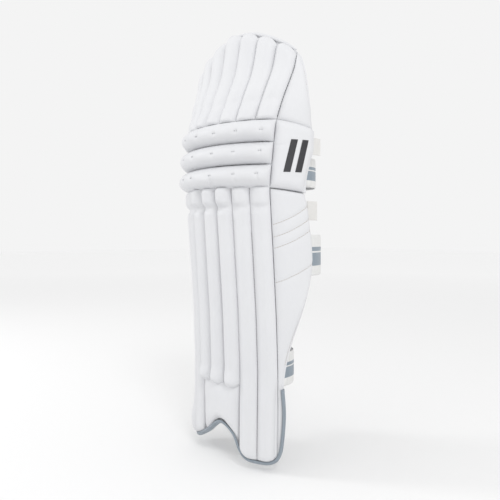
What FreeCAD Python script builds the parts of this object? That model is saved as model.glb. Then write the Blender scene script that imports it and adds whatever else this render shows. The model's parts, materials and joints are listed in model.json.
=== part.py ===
import FreeCAD, Part
import math
import os

# Cricket leg pad, worn on the shin and knee.  Millimetres.
# +Z runs up the leg, the padded face looks along -Y, +X is the outer side of the leg.
# The origin is on the leg's axis, level with the lowest points of the two instep lobes.
# A point of the padding is given by its reach (arc length round the pad from the centre line),
# its height, and its depth in from the line of the seams.

V = FreeCAD.Vector
doc = FreeCAD.newDocument("cricket_leg_pad")
sheet = doc.addObject("Spreadsheet::Sheet", "sizes")

SIZES = {
    # heights up the leg
    "short_rib_end": 121, "wing_foot": 112, "knee_floor": 455, "knee_seam": 560,
    "crown_height": 731,
    # the face and the sides
    "rib_count": 7, "outer_bend": 85, "inner_bend": 40, "rear_edge": 22, "seam_gap": 0.6,
    # layers, from the seams inwards
    "rib_bulge": 9, "rib_depth": 16, "foam_depth": 24, "lining_depth": 26, "cover_skin": 2.5,
    "panel_depth": 16, "panel_bulge": 3,
    # knee rolls
    "roll_count": 3, "roll_bulge": 24, "roll_core": 9,
    # wings
    "wing_narrow": 10, "wing_wide": 75, "wing_top": 61, "wing_peak": 345, "wing_gap": 2.5,
    "knee_side_low": 65, "knee_side_high": 71,
    "flap_side_wide": 67, "flap_side_tip": 10, "flap_side_top": 684,
    # shoulders of the flap; the padding thins towards its top and bottom edges
    "shoulder_across": 152, "shoulder_drop": 86, "thin_above": 650, "thin_below": 150, "edge_thickness": 0.5,
    # soft rolls inside the shell
    "inner_roll_near": 26, "inner_roll_far": 56, "inner_roll_low": 120, "inner_roll_high": 440,
    "cup_near": 48, "cup_far": 86, "cushion_skin": 12,
    # canes and bindings
    "cane_radius": 3.5, "cane_play": 0.4, "binding_height": 6, "side_binding": 12,
    # straps
    "strap_skin": 2.5, "patch_skin": 1.2, "patch_length": 30, "patch_height": 46,
    "hook_gap": 0.6, "patch_play": 0.4, "strap_tip": 24, "hinge_line": 24, "sewn_in": 20,
    # blank tabs on the rear edge of the outer side
    "tab_skin": 1.6, "tab_length": 24, "upper_tab_middle": 527, "upper_tab_height": 28,
    "lower_tab_middle": 420, "lower_tab_height": 32,
}
# station: height, front of the seams at the centre line, radius of the face, width of one rib
STATIONS = {
    "sole": (0, -84, 160, 33.6),
    "ankle": (150, -82, 160, 33.6),
    "calf": (250, -86, 160, 33.6),
    "shin": (350, -93, 160, 33.6),
    "knee": (455, -101, 160, 33.6),
    "seam": (560, -97, 160, 36.0),
    "bend": (600, -82, 190, 38.0),
    "flap": (650, -60, 220, 39.0),
    "crown": (740, -42, 220, 39.0),
}
# lower edge seen from the front, from the inner side to the outer: across, height
HEM = {
    "inner_end": (-118, 45),
    "inner_corner": (-108, 12),
    "inner_lobe": (-95, 3),
    "inner_slope": (-64, 14),
    "inner_arch": (-27, 33),
    "instep": (10, 56),
    "outer_arch": (36, 43),
    "outer_slope": (50, 16),
    "outer_foot": (62, 4),
    "outer_lobe": (90, 0.5),
    "outer_corner": (109, 9),
    "outer_end": (118, 45),
}
# strap: middle height, width, hinge across, heading in from straight back (degrees), radius beside the leg
STRAPS = {
    "knee_strap": (485, 50, 116, 0, 44),
    "calf_strap": (345, 70, 116, 0, 82),
    "ankle_strap": (147, 58, 76, 20, 46),
}


def fill_sheet():
    """Write every driving dimension into the sheet under its own alias."""
    cells = dict(SIZES)
    for name, row in STATIONS.items():
        for part, value in zip(("height", "front", "radius", "width"), row):
            cells[f"{name}_at_{part}"] = value
    for name, (across, height) in HEM.items():
        cells[f"{name}_x"] = across
        cells[f"{name}_z"] = height
    for name, row in STRAPS.items():
        for part, value in zip(("middle", "width", "across", "heading", "curl"), row):
            cells[f"{name}_{part}"] = value
    for row, (alias, value) in enumerate(cells.items(), start=1):
        sheet.set(f"A{row}", alias)
        sheet.set(f"B{row}", str(value))
        sheet.setAlias(f"B{row}", alias)
    doc.recompute()


def size(alias):
    return float(sheet.get(alias))


fill_sheet()
STATION_ROWS = [tuple(size(f"{name}_at_{part}") for part in ("height", "front", "radius", "width"))
                for name in STATIONS]
RIBS = int(size("rib_count"))
SEAM = size("knee_seam")
GAP = size("seam_gap")


# ---- the surface of the pad -------------------------------------------------------------------

def profile(height):
    """Front line, face radius and rib width at one height, straight between the stations."""
    rows = STATION_ROWS
    if height <= rows[0][0]:
        return rows[0][1:]
    for low, high in zip(rows, rows[1:]):
        if height <= high[0]:
            share = (height - low[0]) / (high[0] - low[0])
            return tuple(a + share * (b - a) for a, b in zip(low[1:], high[1:]))
    return rows[-1][1:]


def half_face(height):
    """Reach of the seam between the last rib and the side."""
    return profile(height)[2] * RIBS / 2


def skin_point(reach, height, depth):
    front, radius, width = profile(height)
    side = math.copysign(1.0, reach)
    half = width * RIBS / 2
    turn = min(abs(reach), half) / radius
    past = max(abs(reach) - half, 0.0)
    bend = radius
    if past > 0:
        bend = size("outer_bend") if reach > 0 else size("inner_bend")
    centre_x = (radius - bend) * math.sin(turn)
    centre_y = front + radius - (radius - bend) * math.cos(turn)
    angle = turn + past / bend
    straight = 0.0
    if angle > math.pi / 2:
        straight = (angle - math.pi / 2) * bend
        angle = math.pi / 2
    x = centre_x + (bend - depth) * math.sin(angle)
    y = centre_y - (bend - depth) * math.cos(angle) + straight
    return V(side * x, y, height)


def at(value, height):
    """A number, or a function of the height."""
    return value(height) if callable(value) else value


def section(height, reach_a, reach_b, outer, inner, bulge, steps):
    """Closed outline across the padding at one height."""
    shares = [step / steps for step in range(steps + 1)]
    reaches = [reach_a + share * (reach_b - reach_a) for share in shares]
    front = [skin_point(reach, height, outer - bulge * math.sin(math.pi * share))
             for reach, share in zip(reaches, shares)]
    back = [skin_point(reach, height, inner) for reach in reversed(reaches)]
    edges = []
    for points in (front, [front[-1], back[0]], back, [back[-1], front[0]]):
        if len(points) == 2:
            edges.append(Part.LineSegment(*points).toShape())
        else:
            curve = Part.BSplineCurve()
            curve.interpolate(points)
            edges.append(curve.toShape())
    return Part.Wire(edges)


def levels(low, high):
    """Heights of the sections between two ends: the ends and every station between them."""
    between = [row[0] for row in STATION_ROWS if low + 8 < row[0] < high - 8]
    return [low] + between + [high]


def padding(low, high, reach_a, reach_b, outer, inner, bulge=0.0, steps=4, heights=None):
    """Solid of padding; its reaches and depths may be numbers or functions of the height."""
    wires = []
    for height in heights or levels(low, high):
        sides = [at(value, height) for value in (reach_a, reach_b, outer, inner)]
        wires.append(section(height, *sides, bulge, steps))
    return Part.makeLoft(wires, True, False)


def thinned(depth):
    """A depth that shrinks towards the top and the bottom edge of the pad."""
    above, below = size("thin_above"), size("thin_below")

    def at_height(height):
        share = max((height - above) / (size("crown_height") - above), (below - height) / below)
        return depth * (1 - min(max(share, 0.0), 1.0) * (1 - size("edge_thickness")))
    return at_height


# ---- outlines seen from the front -------------------------------------------------------------

def front_prism(outline):
    """Solid behind an outline drawn in the XZ plane, through the whole depth of the pad."""
    solid = Part.Face(outline).extrude(V(0, 500, 0))
    solid.translate(V(0, -250, 0))
    return solid


def hem_line(margin):
    """The lower edge seen from the front, moved up into the padding by a margin."""
    line = Part.BSplineCurve()
    line.interpolate([V(size(f"{name}_x"), 0, size(f"{name}_z")) for name in HEM])
    count = 48
    moved = []
    for step in range(count + 1):
        place_on_line = line.FirstParameter + (line.LastParameter - line.FirstParameter) * step / count
        ahead = line.tangent(place_on_line)[0]
        moved.append(line.value(place_on_line) + V(-ahead.z, 0, ahead.x) * margin)
    line.interpolate(moved)
    return line


def below_hem(margin):
    """Everything under the lower edge, an arch between two lobes, and a margin above it."""
    line = hem_line(margin)
    start, end = line.StartPoint, line.EndPoint
    outside, below = 150, -80
    corners = [end, V(outside, 0, end.z), V(outside, 0, below), V(-outside, 0, below),
               V(-outside, 0, start.z), start]
    edges = [line.toShape()] + [Part.LineSegment(a, b).toShape() for a, b in zip(corners, corners[1:])]
    return front_prism(Part.Wire(edges))


def below_crown(drop):
    """Everything under the rounded top edge of the flap."""
    shoulder = size("shoulder_across")
    top = size("crown_height") - drop
    side_height = top - size("shoulder_drop")
    left, right = V(-shoulder, 0, side_height), V(shoulder, 0, side_height)
    edges = [Part.Arc(left, V(0, 0, top), right).toShape()]
    corners = [right, V(shoulder, 0, 400), V(-shoulder, 0, 400), left]
    edges += [Part.LineSegment(a, b).toShape() for a, b in zip(corners, corners[1:])]
    return front_prism(Part.Wire(edges))


def above_hinge(clearance):
    """Half space above the fold at the knee seam, tilted so that the flap can lean back."""
    axis = V(0, hinge_front(), SEAM)
    box = Part.makeBox(600, 500, 400, V(-300, -150, SEAM + clearance))
    box.rotate(axis, V(1, 0, 0), 7.0)
    return box


def hinge_front():
    return profile(SEAM)[0] - size("rib_bulge")


# ---- document objects --------------------------------------------------------------------------

NODES = {}


def place(name, shape):
    """A sub-part whose shape comes from the surface of the pad."""
    item = doc.addObject("Part::Feature", name)
    item.Label = name
    item.Shape = shape
    item.Placement = FreeCAD.Placement()
    NODES[name] = item
    return item


def padded_pair(name, low, high, reach_a, reach_b, bulge, heights=None, trim=None):
    """A cover and the foam core that fills it."""
    skin = size("cover_skin")
    depth = size("panel_depth")
    side = math.copysign(1, reach_b(low))

    def inset(reach, amount):
        return lambda height: reach(height) + side * amount

    cover = padding(low, high, reach_a, reach_b, 0, depth, bulge, 6, heights)
    inner_heights = [low + skin] + list((heights or levels(low, high))[1:-1]) + [high - skin]
    core = padding(low + skin, high - skin, inset(reach_a, skin), inset(reach_b, -skin),
                   skin, depth - skin, bulge, 6, inner_heights)
    if trim is not None:
        cover = trim(cover, 0.0)
        core = trim(core, skin)
    place(name, cover.cut(core))
    place(name + "_foam", core)


def rib_edges(index):
    """Left and right seams of one rib, as functions of the height."""
    def edge(side):
        def reach(height):
            width = profile(height)[2]
            return (index - (RIBS - 1) / 2 + side * 0.5) * width - side * GAP / 2
        return reach
    return edge(-1), edge(1)


def cane(index, low, high, radius):
    """A straight rod along the middle of one rib."""
    middle = index - (RIBS - 1) / 2
    depth = size("rib_depth") / 2
    foot = skin_point(middle * profile(low)[2] + 1e-6, low, depth)
    head = skin_point(middle * profile(high)[2] + 1e-6, high, depth)
    run = head - foot
    return Part.makeCylinder(radius, run.Length, foot, run)


# ---- shin ----------------------------------------------------------------------------------------

def make_shin():
    floor = size("knee_floor") - GAP
    hem = below_hem(size("binding_height"))
    canes = []
    for index in range(RIBS):
        short = index in (2, 3, 4)
        low = size("short_rib_end")
        left, right = rib_edges(index)
        rib = padding(4, floor, left, right, 0, thinned(size("rib_depth")), size("rib_bulge"))
        rib = rib.cut(Part.makeBox(400, 400, low, V(-200, -200, 0)) if short else hem)
        ends = (low + 14, floor - 14)
        rib = rib.cut(cane(index, *ends, size("cane_radius") + size("cane_play")))
        canes.append(cane(index, ends[0] + 1, ends[1] - 1, size("cane_radius")))
        place(f"shin_rib_{index + 1}", rib)
    place("shin_canes", Part.makeCompound(canes))
    layer = {"shin_foam": (size("rib_depth") + GAP, size("foam_depth")),
             "shin_lining": (size("foam_depth") + GAP / 2, size("lining_depth"))}
    for name, (outer, inner) in layer.items():
        sheet_solid = padding(4, floor, lambda h: -half_face(h) + 1, lambda h: half_face(h) - 1,
                              thinned(outer), thinned(inner), 0, 8)
        place(name, sheet_solid.cut(hem))
    panel = padding(4, floor, lambda h: -1.5 * profile(h)[2] + GAP, lambda h: 1.5 * profile(h)[2] - GAP,
                    4, thinned(size("rib_depth")), 3)
    below_ribs = Part.makeBox(400, 400, size("short_rib_end") - GAP, V(-200, -200, 0))
    place("instep_panel", panel.common(below_ribs).cut(hem))
    place("foot_binding", foot_binding())


def foot_binding():
    """Tape round the lobes and the arch, and up beside the end ribs as far as the wings."""
    depth = size("lining_depth") + 1
    side = size("side_binding")
    strip = padding(-10, size("wing_foot") - 2, lambda h: -half_face(h) - side,
                    lambda h: half_face(h) + side, -2, thinned(depth), 0, 8)
    band = strip.common(below_hem(size("binding_height") - 0.3)).cut(below_hem(0))
    near, far = GAP, side - 0.1
    low, high = 4, size("knee_floor") - GAP
    outer_leg = padding(low, high, lambda h: half_face(h) + near, lambda h: half_face(h) + far,
                        -1, thinned(depth - 1))
    inner_leg = padding(low, high, lambda h: -half_face(h) - far, lambda h: -half_face(h) - near,
                        -1, thinned(depth - 1))
    below_wing = Part.makeBox(400, 400, size("wing_foot") - 4, V(-200, -200, 0))
    legs = outer_leg.fuse(inner_leg).common(below_wing).cut(below_hem(0.05))
    return band.fuse(legs).removeSplitter()


def make_inner_rolls():
    """Two soft rolls inside the shell that hold it off the shin bone."""
    outer = size("lining_depth") + 2
    low, high = size("inner_roll_low"), size("inner_roll_high")
    for name, side in (("inner_roll_outer_side", 1), ("inner_roll_inner_side", -1)):
        near, far = sorted((side * size("inner_roll_near"), side * size("inner_roll_far")))
        place(name, padding(low, high, near, far, outer, outer + size("cushion_skin")))


# ---- knee ----------------------------------------------------------------------------------------

def knee_plane(body):
    for feature in body.Origin.OriginFeatures:
        if feature.Role == "YZ_Plane":
            return feature


def make_knee_rolls():
    """Three rolls across the knee, each a turned body about the axis of the face."""
    low, high = size("knee_floor"), SEAM
    count = int(size("roll_count"))
    pitch = (high - low) / count
    front, radius, width = profile((low + high) / 2)
    axis_y = front + radius
    half_angle = math.degrees(half_face(low) / radius)
    back = radius - size("rib_depth")
    for index in range(count):
        name = f"knee_roll_{count - index}"
        body = doc.addObject("PartDesign::Body", name)
        body.Label = name
        sketch = body.newObject("Sketcher::SketchObject", name + "_outline")
        sketch.AttachmentSupport = [(knee_plane(body), "")]
        sketch.MapMode = "FlatFace"
        sketch.AttachmentOffset = FreeCAD.Placement(V(axis_y, 0, 0), FreeCAD.Rotation())
        foot = low + index * pitch + GAP / 2
        head = low + (index + 1) * pitch - GAP / 2
        crest = -(radius + size("roll_bulge"))
        edge = -(radius + 4)
        corners = [V(edge, foot, 0), V(-back, foot, 0), V(-back, head, 0), V(edge, head, 0)]
        sketch.addGeometry([Part.LineSegment(a, b) for a, b in zip(corners, corners[1:])]
                           + [Part.Arc(corners[3], V(crest, (foot + head) / 2, 0), corners[0])], False)
        core = V(-(radius - size("rib_depth") / 2 + 4), (foot + head) / 2, 0)
        sketch.addGeometry(Part.Circle(core, V(0, 0, 1), size("roll_core")), False)
        turned = body.newObject("PartDesign::Revolution", name + "_turned")
        turned.Profile = sketch
        turned.ReferenceAxis = (sketch, ["V_Axis"])
        turned.Midplane = True
        turned.setExpression("Angle", f"2 * {half_angle:.4f}")
        body.Tip = turned
        NODES[name] = body
        arc_core = doc.addObject("Part::Torus", f"knee_core_{count - index}")
        arc_core.Placement = FreeCAD.Placement(V(0, axis_y, core.y),
                                               FreeCAD.Rotation(V(0, 0, 1), -90 - half_angle + 0.5))
        arc_core.Radius1 = -core.x
        arc_core.setExpression("Radius2", "sizes.roll_core - 0.3")
        arc_core.Angle3 = 2 * half_angle - 1
        NODES[arc_core.Name] = arc_core


def make_knee_shell():
    low, high = size("knee_floor"), SEAM
    outer = size("rib_depth") + GAP
    foam = padding(low, high, lambda h: -half_face(h) + 4, lambda h: half_face(h) - 4,
                   outer + 2, size("foam_depth") + 4, 0, 8)
    place("knee_foam", foam)
    padded_pair("knee_side_outer", low, high - 6, lambda h: half_face(h) + 3, knee_side_reach,
                2 * size("panel_bulge"))
    padded_pair("knee_side_inner", low, high - 6, lambda h: -half_face(h) - 3,
                lambda h: -inner_reach(h), 0)
    outer = size("foam_depth") + 4 + GAP
    for name, side in (("knee_cup_outer_side", 1), ("knee_cup_inner_side", -1)):
        near, far = sorted((side * size("cup_near"), side * size("cup_far")))
        place(name, padding(low + 8, high - 8, near, far, outer, outer + size("cushion_skin")))


def knee_side_reach(height):
    """Reach of the rear edge of the outer side beside the knee."""
    share = (height - size("knee_floor")) / (SEAM - size("knee_floor"))
    width = size("knee_side_low") + share * (size("knee_side_high") - size("knee_side_low"))
    return half_face(height) + width


def inner_reach(height):
    """Reach at which the inner side comes to its straight rear edge."""
    front, radius, width = profile(height)
    turn = half_face(height) / radius
    bend = size("inner_bend")
    centre_y = front + radius - (radius - bend) * math.cos(turn)
    return half_face(height) + bend * (math.pi / 2 - turn) + size("rear_edge") - centre_y


# ---- wings ---------------------------------------------------------------------------------------

def wing_reach(height):
    """Reach of the outer wing: narrow at the ankle, widest behind the calf."""
    low, peak = size("wing_foot"), size("wing_peak")
    if height < peak:
        share = max((height - low) / (peak - low), 0.0)
        width = size("wing_narrow") + (size("wing_wide") - size("wing_narrow")) * share ** 2 * (3 - 2 * share)
    else:
        share = (height - peak) / (size("knee_floor") - peak)
        width = size("wing_wide") - (size("wing_wide") - size("wing_top")) * share ** 2
    return half_face(height) + width


def make_wings():
    low, high = size("wing_foot"), size("knee_floor") - 4
    gap = size("wing_gap")
    heights = [low, 150, 200, 250, 300, 350, 400, high]
    padded_pair("outer_wing", low, high, lambda h: half_face(h) + gap, wing_reach,
                size("panel_bulge"), heights)
    padded_pair("inner_wing", low, high, lambda h: -half_face(h) - gap, lambda h: -inner_reach(h),
                0, heights)


# ---- flap over the knee -----------------------------------------------------------------------

def flap_side_width(height):
    """Width of the flap's side panel: wide at the fold, running out near the shoulder."""
    share = min((height - SEAM) / (size("flap_side_top") - SEAM), 1.0)
    return size("flap_side_wide") + share * (size("flap_side_tip") - size("flap_side_wide"))


def make_flap():
    crown = below_crown(size("binding_height"))
    fold = above_hinge(1.0)
    top = size("crown_height") + 8
    canes = []
    for index in range(RIBS):
        left, right = rib_edges(index)
        rib = padding(SEAM, top, left, right, 0, thinned(size("rib_depth")), size("rib_bulge"))
        rib = rib.common(crown).common(fold)
        offset = abs(index - (RIBS - 1) / 2)
        ends = (SEAM + 62, top - 60 - 8 * offset)
        rib = rib.cut(cane(index, *ends, size("cane_radius") + size("cane_play")))
        canes.append(cane(index, ends[0] + 1, ends[1] - 1, size("cane_radius")))
        place(f"flap_rib_{index + 1}", rib)
    place("flap_canes", Part.makeCompound(canes))
    layer = {"flap_foam": (size("rib_depth") + GAP, size("foam_depth")),
             "flap_lining": (size("foam_depth") + GAP / 2, size("lining_depth"))}
    for name, (outer, inner) in layer.items():
        back = padding(SEAM, top, lambda h: -half_face(h) + 1, lambda h: half_face(h) - 1,
                       thinned(outer), thinned(inner), 0, 8)
        place(name, back.common(crown).common(fold))

    def trim(shape, inset):
        return shape.common(below_crown(size("binding_height") + inset)).common(above_hinge(1.0 + inset))

    heights = levels(SEAM, top)
    padded_pair("flap_side_outer", SEAM, top, lambda h: half_face(h) + 2,
                lambda h: half_face(h) + flap_side_width(h), size("panel_bulge"), heights, trim)
    padded_pair("flap_side_inner", SEAM, top, lambda h: -half_face(h) - 2,
                lambda h: -half_face(h) - flap_side_width(h) * 0.8, size("panel_bulge"), heights, trim)
    rim = padding(SEAM, top, lambda h: -half_face(h) - 1, lambda h: half_face(h) + 1, -2,
                  thinned(size("lining_depth") + 1), 0, 16)
    rim = rim.common(below_crown(0)).cut(below_crown(size("binding_height") - 0.3))
    place("crown_binding", rim)


# ---- straps ----------------------------------------------------------------------------------------

def band(name, edges, strap, side):
    """A strip of webbing: its outer line in plan, thickened inwards and pulled up to its width."""
    line = doc.addObject("Part::Feature", name + "_line")
    line.Shape = Part.Wire(edges)
    thick = doc.addObject("Part::Offset2D", name + "_thick")
    thick.Source = line
    thick.setExpression("Value", f"{side} * sizes.strap_skin")
    thick.Mode = "Skin"
    thick.Fill = True
    strip = doc.addObject("Part::Extrusion", name)
    strip.Label = name
    strip.Base = thick
    strip.DirMode = "Custom"
    strip.Dir = V(0, 0, 1)
    strip.setExpression("LengthFwd", f"sizes.{strap}_width")
    strip.Solid = True
    strip.setExpression("Placement.Base.z", f"sizes.{strap}_middle - sizes.{strap}_width / 2")
    NODES[name] = strip
    return strip


def strap_lines(name):
    """The plan lines of one strap: its sewn tail, and its free band round the back of the leg."""
    across, heading, curl = (size(f"{name}_{part}") for part in ("across", "heading", "curl"))
    middle = size(f"{name}_middle")
    hinge = V(across, size("hinge_line"), 0)
    angle = math.radians(heading)
    ahead = V(-math.sin(angle), math.cos(angle), 0)
    inward = V(-math.cos(angle), -math.sin(angle), 0)
    sewn = skin_point(half_face(middle) - size("sewn_in"), middle, size("lining_depth") + 6)
    sewn.z = 0
    chord = sewn - hinge
    tail_radius = chord.Length ** 2 / (2 * chord.dot(inward))
    tail_centre = hinge + inward * tail_radius
    tail = Part.Arc(sewn, on_circle(tail_centre, tail_radius, (sewn - tail_centre).normalize()
                                    + (hinge - tail_centre).normalize()), hinge)
    near = hinge + inward * curl
    rear = near.y + curl
    stack = 2 * size("patch_skin") + size("strap_skin") + size("hook_gap") + 2 * size("patch_play")
    inner_x = -(flat_side(name) + stack)
    turn = rear - size("rear_edge")
    far = V(inner_x + turn, size("rear_edge"), 0)
    start = ahead * 0.3 + hinge
    edges = [
        Part.Arc(start, on_circle(near, curl, V(math.cos(angle / 2 + 0.785), math.sin(angle / 2 + 0.785), 0)),
                 V(near.x, rear, 0)),
        Part.LineSegment(V(near.x, rear, 0), V(far.x, rear, 0)),
        Part.Arc(V(far.x, rear, 0), on_circle(far, turn, V(-1, 1, 0)), V(inner_x, far.y, 0)),
        Part.LineSegment(V(inner_x, far.y, 0), V(inner_x, -size("strap_tip"), 0)),
    ]
    return tail, edges, inner_x


def on_circle(centre, radius, towards):
    return centre + towards.normalize() * radius


def flat_inner_x(height):
    """How far out the straight part of the inner side lies."""
    front, radius, width = profile(height)
    turn = half_face(height) / radius
    bend = size("inner_bend")
    return (radius - bend) * math.sin(turn) + bend


def flat_side(name):
    """The straight inner side at its widest beside one strap."""
    middle, reach = size(f"{name}_middle"), size("patch_height") / 2
    return max(flat_inner_x(middle - reach), flat_inner_x(middle + reach))


def patch(name, x, middle):
    """A flat patch of hook or loop tape."""
    item = doc.addObject("Part::Box", name)
    item.Label = name
    item.setExpression("Length", "sizes.patch_skin")
    item.setExpression("Width", "sizes.patch_length")
    item.setExpression("Height", "sizes.patch_height")
    item.Placement = FreeCAD.Placement(V(x, size("rear_edge") - size("patch_length") - 2,
                                         middle - size("patch_height") / 2), FreeCAD.Rotation())
    NODES[name] = item


def make_straps():
    for name in STRAPS:
        middle = size(f"{name}_middle")
        tail, edges, inner_x = strap_lines(name)
        band(name + "_tail", [tail.toShape()], name, 1)
        band(name, [edge.toShape() for edge in edges], name, -1)
        skin = size("patch_skin")
        patch(name + "_loop_patch", -flat_side(name) - skin - size("patch_play"), middle)
        patch(name + "_hook_patch", inner_x + size("strap_skin") + 0.1, middle)


def make_tabs():
    """Two blank fabric tabs sewn into the rear edge of the outer side."""
    for name, rear_edge in (("upper_tab", knee_side_reach), ("lower_tab", wing_reach)):
        middle = size(f"{name}_middle")
        edge = skin_point(rear_edge(middle), middle, size("panel_depth") / 2)
        tab = doc.addObject("Part::Box", name)
        tab.Label = name
        tab.setExpression("Length", "sizes.tab_skin")
        tab.setExpression("Width", "sizes.tab_length")
        tab.setExpression("Height", f"sizes.{name}_height")
        tab.Placement = FreeCAD.Placement(V(edge.x, edge.y + 3, middle - size(f"{name}_height") / 2),
                                          FreeCAD.Rotation())
        NODES[name] = tab


make_shin()
make_inner_rolls()
make_knee_rolls()
make_knee_shell()
make_wings()
make_flap()
make_straps()
make_tabs()
doc.recompute()

failed = [item.Name for item in doc.Objects if {"Invalid", "Error"} & set(item.State)]
for node, item in NODES.items():
    if item.Shape.isNull() or not item.Shape.isValid():
        failed.append(node)
if failed:
    raise RuntimeError("these objects did not build: " + ", ".join(failed))

os.makedirs("parts", exist_ok=True)
for node, item in NODES.items():
    item.Shape.exportStep(f"parts/{node}.step")
    print(node, round(item.Shape.Volume), len(item.Shape.Solids))
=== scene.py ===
import json
import math

import bpy
import numpy as np
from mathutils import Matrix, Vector


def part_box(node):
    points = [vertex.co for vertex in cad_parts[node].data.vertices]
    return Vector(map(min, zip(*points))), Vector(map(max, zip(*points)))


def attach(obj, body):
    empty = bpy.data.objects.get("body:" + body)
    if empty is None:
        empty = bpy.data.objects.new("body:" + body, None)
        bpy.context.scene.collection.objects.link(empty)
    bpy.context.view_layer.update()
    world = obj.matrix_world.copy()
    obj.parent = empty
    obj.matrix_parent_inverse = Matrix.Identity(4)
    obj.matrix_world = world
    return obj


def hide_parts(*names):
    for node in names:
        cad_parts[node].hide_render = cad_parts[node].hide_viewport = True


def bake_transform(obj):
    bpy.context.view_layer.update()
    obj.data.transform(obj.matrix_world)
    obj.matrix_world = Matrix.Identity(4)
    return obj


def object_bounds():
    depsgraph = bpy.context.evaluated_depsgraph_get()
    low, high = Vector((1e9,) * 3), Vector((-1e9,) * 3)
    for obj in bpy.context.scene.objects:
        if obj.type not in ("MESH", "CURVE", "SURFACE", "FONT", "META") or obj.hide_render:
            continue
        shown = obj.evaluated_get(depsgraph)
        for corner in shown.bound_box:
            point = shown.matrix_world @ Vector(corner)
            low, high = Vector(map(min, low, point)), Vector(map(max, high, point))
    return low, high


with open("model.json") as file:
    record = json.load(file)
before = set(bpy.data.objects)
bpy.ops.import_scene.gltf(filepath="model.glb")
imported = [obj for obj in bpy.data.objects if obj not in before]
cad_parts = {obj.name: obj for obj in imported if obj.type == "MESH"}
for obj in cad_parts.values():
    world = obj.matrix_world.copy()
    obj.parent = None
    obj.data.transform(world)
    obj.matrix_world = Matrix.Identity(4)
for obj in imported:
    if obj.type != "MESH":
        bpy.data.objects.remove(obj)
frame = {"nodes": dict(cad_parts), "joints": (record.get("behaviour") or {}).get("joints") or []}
cad_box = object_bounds()

# ---- sizes, in metres --------------------------------------------

RIBS = 7
OUTER_BEND, INNER_BEND = 0.085, 0.040
KNEE_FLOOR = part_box("knee_roll_3")[0].z + 0.002
KNEE_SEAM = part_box("knee_roll_1")[1].z + 0.005
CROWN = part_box("crown_binding")[1].z
SHORT_RIB_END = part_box("shin_rib_4")[0].z
REAR_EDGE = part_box("inner_wing")[1].y
WING_FOOT, WING_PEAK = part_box("outer_wing")[0].z, 0.345
RIB_DEPTH, LINING_DEPTH, PANEL_DEPTH = 0.015, 0.026, 0.015
ROLL_RISE = 0.0225
WING_MIDDLE = 0.285
STRAP_THICK = 0.0025
# height, front of the seams, radius of the face, width of a rib
STATIONS = np.array([
    (0.000, -0.084, 0.160, 0.0336),
    (0.150, -0.082, 0.160, 0.0336),
    (0.250, -0.086, 0.160, 0.0336),
    (0.350, -0.093, 0.160, 0.0336),
    (0.455, -0.101, 0.160, 0.0336),
    (0.560, -0.097, 0.160, 0.0355),
    (0.600, -0.082, 0.190, 0.0365),
    (0.650, -0.060, 0.220, 0.0380),
    (0.740, -0.042, 0.220, 0.0390),
])
# lower edge from the inner side round to the outer: reach, height
HEM = np.array([
    (-0.127, 0.110), (-0.130, 0.080), (-0.128, 0.040), (-0.122, 0.018), (-0.113, 0.006), (-0.098, 0.003),
    (-0.066, 0.014), (-0.027, 0.033), (0.010, 0.056), (0.036, 0.043), (0.051, 0.016), (0.064, 0.004),
    (0.090, 0.0005), (0.106, 0.001), (0.118, 0.007), (0.1255, 0.021), (0.1285, 0.040), (0.131, 0.084),
    (0.128, 0.126),
])
STRAP_WIDTHS = {"knee_strap": 0.050, "calf_strap": 0.070, "ankle_strap": 0.058}

HEIGHTS = np.arange(-60, 800) * 0.001


def smooth_column(values):
    """Station values over HEIGHTS, rounded off where they turn."""
    half = 23
    window = np.hanning(2 * half + 1)
    rough = np.interp(HEIGHTS, STATIONS[:, 0], values)
    return np.convolve(np.pad(rough, half, mode="edge"), window / window.sum(), mode="valid")


FRONT, RADIUS, WIDTH = (smooth_column(STATIONS[:, column]) for column in (1, 2, 3))


def smooth_path(points, count):
    """A smooth curve through a few points."""
    knots = np.concatenate([[0], np.cumsum(np.linalg.norm(np.diff(points, axis=0), axis=1) ** 0.5)])
    slopes = np.gradient(points, knots, axis=0)
    stops = np.linspace(0, knots[-1], count)
    span = np.clip(np.searchsorted(knots, stops) - 1, 0, len(knots) - 2)
    step = (knots[span + 1] - knots[span])[:, None]
    s = (stops - knots[span])[:, None] / step
    start, end = points[span], points[span + 1]
    blend = s * s * (3 - 2 * s)
    bow = s * (1 - s) * ((1 - s) * slopes[span] - s * slopes[span + 1]) * step
    return start + (end - start) * blend + bow


HEM_LINE = smooth_path(HEM, 300)
HEM_SPAN = HEM_LINE[np.argmin(HEM_LINE[:, 0]):np.argmax(HEM_LINE[:, 0]) + 1]


def hem(reach):
    """Height of the lower edge: a lopsided arch over the foot between two round lobes."""
    return np.interp(reach, HEM_SPAN[:, 0], HEM_SPAN[:, 1])


def smoothstep(value, low, high):
    """0 below low, 1 above high, and an even curve between them."""
    share = np.clip((value - low) / (high - low), 0, 1)
    return share * share * (3 - 2 * share)


def bell(distance, width):
    """1 at no distance, fading to nothing within two or three widths."""
    return np.exp(-(distance / width) ** 2)


def round_off(distance, radius):
    """0 at an edge, rising like a quarter circle to 1."""
    share = np.clip(distance / radius, 0, 1)
    return np.sqrt(1 - (1 - share) ** 2)


def rib_width(height):
    return np.interp(height, HEIGHTS, WIDTH)


def half_face(height):
    """Reach of the seam beside the outermost rib."""
    return rib_width(height) * RIBS / 2


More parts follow.
